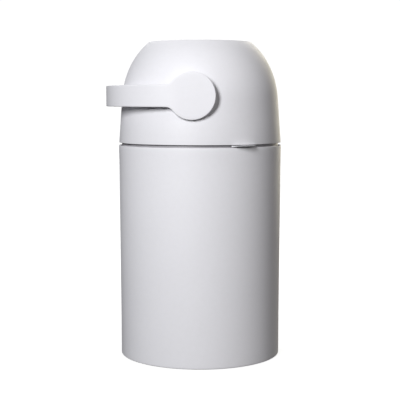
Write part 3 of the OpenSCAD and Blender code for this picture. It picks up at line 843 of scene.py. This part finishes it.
face = lathe("piston_face_lower", piston_face(), 224)
move(face, at(0, 0, HUB_Z + PISTON_LOW))
finish_piece(smooth(face, 30), "piston", "inner_white", "piston_lower_face")
face = lathe("piston_face_upper", piston_face(), 224)
move(face, at(0, 0, HUB_Z + PISTON_LOW + PISTON_T) @ turn(180, "X"))
finish_piece(smooth(face, 30), "piston", "inner_white", "piston_upper_face")
weight = lathe("piston_weight_disc", rounded([(8, 4.1, .6), (44.8, 4.1, .6), (44.8, PISTON_T - 4.1, .6), (8, PISTON_T - 4.1, .6)], 4), 160)
move(weight, at(0, 0, HUB_Z + PISTON_LOW))
finish_piece(smooth(weight, 30), "piston", "steel", "piston_weight")
h, r = PISTON_T / 2, TUBE_R - 0.35
wiper = lathe("piston_wiper_ring", rounded([(r - 3.15, h - 1.9, .2), (TUBE_R - 1, h - 1.9, .4), (TUBE_R - 0.08, h - 0.6, .3), (TUBE_R - 0.08, h + 0.6, .3), (TUBE_R - 1, h + 1.9, .4),
    (r - 3.15, h + 1.9, .2)], 4), 224)
move(wiper, at(0, 0, HUB_Z + PISTON_LOW))
finish_piece(smooth(wiper, 40), "piston", "seal_grey", "piston_wiper")


# ---------------------------------------------------------------- handle
class BailPlan:
    """The handle's plan, outer face, unrolled: s runs from +38.5 at the disc's edge down along the curve to the far left end."""

    def __init__(self):
        pts = bezier([(-22, -HALF_W), (-92, -HALF_W), (-REACH, -84), (-REACH, 0)], 2400)
        self.pts, self.run = pts, [0.0]
        for p, q in zip(pts, pts[1:]):
            self.run.append(self.run[-1] + math.hypot(q[0] - p[0], q[1] - p[1]))
        self.length = self.run[-1]
        self.end = -22 - self.length

    def s_at_x(self, x):
        if x >= -22:
            return x
        for i, p in enumerate(self.pts):
            if p[0] <= x:
                return -22 - self.run[i]
        return self.end

    def place(self, s):
        if s >= -22:
            return (s, -HALF_W), (0.0, 1.0)
        want = min(-22 - s, self.length)
        lo, hi = 0, len(self.run) - 1
        while hi - lo > 1:
            mid = (lo + hi) // 2
            if self.run[mid] <= want:
                lo = mid
            else:
                hi = mid
        p, q = self.pts[lo], self.pts[hi]
        f = (want - self.run[lo]) / max(1e-9, self.run[hi] - self.run[lo])
        tx, ty = q[0] - p[0], q[1] - p[1]
        if lo > 0 and hi < len(self.pts) - 1:
            a, b = self.pts[lo - 1], self.pts[hi + 1]
            tx, ty = b[0] - a[0], b[1] - a[1]
        if want >= self.length - 1e-6:
            tx, ty = 0.0, 1.0
        n = math.hypot(tx, ty)
        # inward: to the right-hand side of the run towards the left end is the dome's side
        return (p[0] + (q[0] - p[0]) * f, p[1] + (q[1] - p[1]) * f), (ty / n, -tx / n)

    def thick(self, s):
        u = max(0.0, min(1.0, (-22 - s) / self.length))
        return HUB_T + 1.6 * math.sin(u * math.pi / 2)


def handle_mesh():
    plan = BailPlan()
    R, r, b = HUB_R, BLEND, BAND_H / 2
    ro, ri = 1.15, 0.9
    cc = math.sqrt((R + r) ** 2 - (b + r) ** 2)
    th = math.pi - math.atan2(b + r, cc)
    cols = []
    nd, nf = 84, 20
    for i in range(nd + 1):
        t = th * i / nd
        cols.append((plan.s_at_x((R - ro) * math.cos(t)), (R - ro) * math.sin(t), math.cos(t), math.sin(t)))
    a0 = math.atan2(-(b + r), cc)
    for i in range(1, nf + 1):
        a = a0 + (-math.pi / 2 - a0) * i / nf
        x, z = -cc + (r + ro) * math.cos(a), b + r + (r + ro) * math.sin(a)
        cols.append((plan.s_at_x(x), z, -math.cos(a), -math.sin(a)))
    s0 = cols[-1][0]
    nb = 96
    for i in range(1, nb + 1):
        cols.append((s0 + (plan.end - s0) * i / nb, b - ro - 1.0 * i / nb, 0.0, 1.0))
    cols[0] = (R - ro, 0.0, 1.0, 0.0)
    sites = [(1, c) for c in cols] + [(-1, c) for c in reversed(cols[:-1])]
    K = len(sites)
    rows = 14
    verts = []

    def put(side, s, z, d):
        (x, y), (nx, ny) = plan.place(s)
        verts.append((x + nx * d, side * (y + ny * d), z))
        return len(verts) - 1

    def grid(shift, inner_face):
        out = []
        for k, (side, (s, z, ns, nz)) in enumerate(sites):
            s2, z2 = s + shift * ns, z + shift * nz
            d = plan.thick(s2) if inner_face else 0.0
            if k in (0, K - 1):
                out.append([put(side, s2, 0.0, d)] * (rows + 1))
            else:
                out.append([put(side, s2, z2 * (-1 + 2 * j / rows), d) for j in range(rows + 1)])
        return out

    g_out = grid(0.0, False)
    g_in = grid(ro - ri, True)
    loop = [(0, 0.0)] + [(k, 1) for k in range(1, K - 1)] + [(K - 1, 0.0)] + [(k, -1) for k in range(K - 2, 0, -1)]

    def ring(shift, depth, from_inner):
        out = []
        for k, up in loop:
            side, (s, z, ns, nz) = sites[k]
            s2, z2 = s + shift * ns, (z + shift * nz) * up
            d = plan.thick(s2) - depth if from_inner else depth
            out.append(put(side, s2, z2, d))
        return out

    def edge_of(g):
        return [g[k][rows] if up == 1 else g[k][0] for k, up in loop]

    rings = [edge_of(g_out)]
    B = 5
    for i in range(1, B + 1):
        f = math.pi / 2 * i / B
        rings.append(ring(ro * math.sin(f), ro * (1 - math.cos(f)), False))
    for i in range(B, 0, -1):
        f = math.pi / 2 * i / B
        rings.append(ring(ro - ri + ri * math.sin(f), ri * (1 - math.cos(f)), True))
    rings.append(edge_of(g_in))
    faces = []
    for g in (g_out, g_in):
        for k in range(K - 1):
            for j in range(rows):
                f = list(dict.fromkeys([g[k][j], g[k + 1][j], g[k + 1][j + 1], g[k][j + 1]]))
                if len(f) > 2:
                    faces.append(f)
    m = len(loop)
    for a, bb in zip(rings, rings[1:]):
        for i in range(m):
            j = (i + 1) % m
            faces.append([a[i], a[j], bb[j], bb[i]])
    return mesh_object("handle_bail", verts, faces)


handle = handle_mesh()
move(handle, at(0, 0, HUB_Z))
spig = [move(ngon(6.5, 6, 124.6, 138.5), FRONT), move(ngon(6.5, 6, 124.6, 138.5), REAR)]
add(handle, merge(*spig))
cut(handle, merge(move(rod(1.4, 120, 137.8, 32), FRONT), move(rod(1.4, 120, 137.8, 32), REAR)))
finish_piece(smooth(handle, 28), "drum", "shell_white", "handle")


# ---------------------------------------------------------------- stage and lights
def ray_flags(o, **flags):
    for k, v in flags.items():
        setattr(o, k, v)


def floor_material():
    """Pale matt floor that brightens to plain white away from the bin."""
    m, t, p, links = nodes_of("floor")
    coord = t.nodes.new("ShaderNodeTexCoord")
    n = noise_node(t, links, coord, 3.0, 3.0)
    c = ramp(t, links, n.outputs["Fac"], [(0.3, (0.215, 0.215, 0.215, 1)), (0.7, (0.225, 0.225, 0.225, 1))])
    links.new(c.outputs["Color"], p.inputs["Base Color"])
    p.inputs["Roughness"].default_value = 0.9
    p.inputs["Specular IOR Level"].default_value = 0.05
    dist = t.nodes.new("ShaderNodeVectorMath")
    dist.operation = "LENGTH"
    links.new(coord.outputs["Object"], dist.inputs[0])
    far = t.nodes.new("ShaderNodeMapRange")
    far.interpolation_type = "SMOOTHSTEP"
    far.inputs["From Min"].default_value = 0.25
    far.inputs["From Max"].default_value = 2.2
    far.inputs["To Min"].default_value = FLOOR_NEAR
    far.inputs["To Max"].default_value = 1.05
    links.new(dist.outputs["Value"], far.inputs["Value"])
    p.inputs["Emission Color"].default_value = (1.0, 1.0, 1.0, 1.0)
    links.new(far.outputs["Result"], p.inputs["Emission Strength"])
    return m


FLOOR_NEAR = 0.86
S = 9.0
floor = mesh_object("floor", [(-S, -S, 0), (S, -S, 0), (S, S, 0), (-S, S, 0)], [[0, 1, 2, 3]], 1.0)
floor.data.materials.append(floor_material())
ray_flags(floor, visible_diffuse=False, visible_glossy=False, visible_transmission=False)

# a white room round it all, which only the camera sees
m, t, p, links = nodes_of("room")
p.inputs["Base Color"].default_value = (0.0, 0.0, 0.0, 1.0)
p.inputs["Specular IOR Level"].default_value = 0.0
p.inputs["Emission Color"].default_value = (1.0, 1.0, 1.0, 1.0)
p.inputs["Emission Strength"].default_value = 1.05
m.cycles.emission_sampling = "NONE"
floor.data.materials[0].cycles.emission_sampling = "NONE"
bm = bmesh.new()
bmesh.ops.create_icosphere(bm, subdivisions=4, radius=11.0)
bmesh.ops.reverse_faces(bm, faces=bm.faces)
me = bpy.data.meshes.new("room")
bm.to_mesh(me)
bm.free()
me.materials.append(m)
room = link(bpy.data.objects.new("room", me))
ray_flags(room, visible_diffuse=False, visible_glossy=False, visible_transmission=False, visible_shadow=False, visible_volume_scatter=False)

world = bpy.data.worlds.new("studio")
bpy.context.scene.world = world
world.use_nodes = True
wt = world.node_tree
bg = wt.nodes["Background"]
w_coord = wt.nodes.new("ShaderNodeTexCoord")
w_sep = wt.nodes.new("ShaderNodeSeparateXYZ")
wt.links.new(w_coord.outputs["Generated"], w_sep.inputs[0])


def w_math(op, *values):
    n = wt.nodes.new("ShaderNodeMath")
    n.operation = op
    for i, v in enumerate(values):
        if isinstance(v, (int, float)):
            n.inputs[i].default_value = v
        else:
            wt.links.new(v, n.inputs[i])
    return n.outputs[0]


# panels of soft light round the horizon, by compass direction counted from the front
turned = w_math("ARCTAN2", w_sep.outputs[0], w_math("MULTIPLY", w_sep.outputs[1], -1.0))
turned = w_math("WRAP", w_math("SUBTRACT", turned, CAM_AZ), math.pi, -math.pi)
share = w_math("MULTIPLY_ADD", turned, 0.5 / math.pi, 0.5)
ring = wt.nodes.new("ShaderNodeValToRGB")
ring.color_ramp.interpolation = "EASE"
stops = [(-180, (0.16, 0.16, 0.18)), (-146, (0.16, 0.16, 0.17)), (-100, (0.03, 0.04, 0.05)), (-80, (0.0, 0.0, 0.0)), (25, (0.0, 0.0, 0.0)),
         (35, (1.06, 1.03, 1.02)), (57, (1.06, 1.03, 1.02)), (63, (1.46, 1.42, 1.44)), (76, (1.46, 1.42, 1.44)), (85, (0.0, 0.0, 0.0)),
         (132, (0.0, 0.0, 0.0)), (146, (0.12, 0.12, 0.13)), (180, (0.16, 0.16, 0.18))]
e = ring.color_ramp.elements
e[0].position, e[0].color = 0.0, (*stops[0][1], 1.0)
e[1].position, e[1].color = 1.0, (*stops[-1][1], 1.0)
for a, c in stops[1:-1]:
    x = e.new((a + 180.0) / 360.0)
    x.color = (*c, 1.0)
wt.links.new(share, ring.inputs["Fac"])
low = wt.nodes.new("ShaderNodeMapRange")
low.interpolation_type = "SMOOTHSTEP"
low.inputs["From Min"].default_value = -0.04
low.inputs["From Max"].default_value = 0.04
wt.links.new(w_sep.outputs[2], low.inputs["Value"])
high = wt.nodes.new("ShaderNodeMapRange")
high.interpolation_type = "SMOOTHSTEP"
high.inputs["From Min"].default_value = 0.65
high.inputs["From Max"].default_value = 0.77
high.inputs["To Min"].default_value = 1.0
high.inputs["To Max"].default_value = 0.0
wt.links.new(w_sep.outputs[2], high.inputs["Value"])
band = w_math("MULTIPLY", low.outputs["Result"], high.outputs["Result"])
mix = wt.nodes.new("ShaderNodeMix")
mix.data_type = "RGBA"
mix.inputs["A"].default_value = (0.012, 0.011, 0.011, 1.0)
wt.links.new(band, mix.inputs["Factor"])
wt.links.new(ring.outputs["Color"], mix.inputs["B"])
wt.links.new(mix.outputs["Result"], bg.inputs["Color"])
bg.inputs["Strength"].default_value = 1.0


def softbox(name, az, el, dist, wide, tall, power, colour=(1, 1, 1)):
    """A soft panel that faces the bin, placed by compass direction from the camera's side."""
    a, e_ = CAM_AZ + math.radians(az), math.radians(el)
    aim = Vector((0, 0, 0.27))
    loc = Vector((math.sin(a) * math.cos(e_), -math.cos(a) * math.cos(e_), math.sin(e_))) * dist + aim
    d = bpy.data.lights.new(name, "AREA")
    d.shape = "RECTANGLE"
    d.size, d.size_y = wide, tall
    d.energy = power
    d.color = colour
    o = link(bpy.data.objects.new(name, d))
    o.location = loc
    o.rotation_euler = (aim - loc).to_track_quat("-Z", "Y").to_euler()
    o.visible_camera = False
    return o


softbox("key", -25, 24.5, 2.3, 0.45, 0.9, 51.0, (0.98, 0.98, 1.0))
softbox("rim", 150, 15, 2.0, 0.8, 1.4, 15.0, (1.0, 0.93, 0.72))
softbox("behind", 180, 42, 2.3, 1.8, 1.4, 30.0)

bpy.context.scene.view_settings.view_transform = "Standard"
bpy.context.scene.view_settings.look = "None"
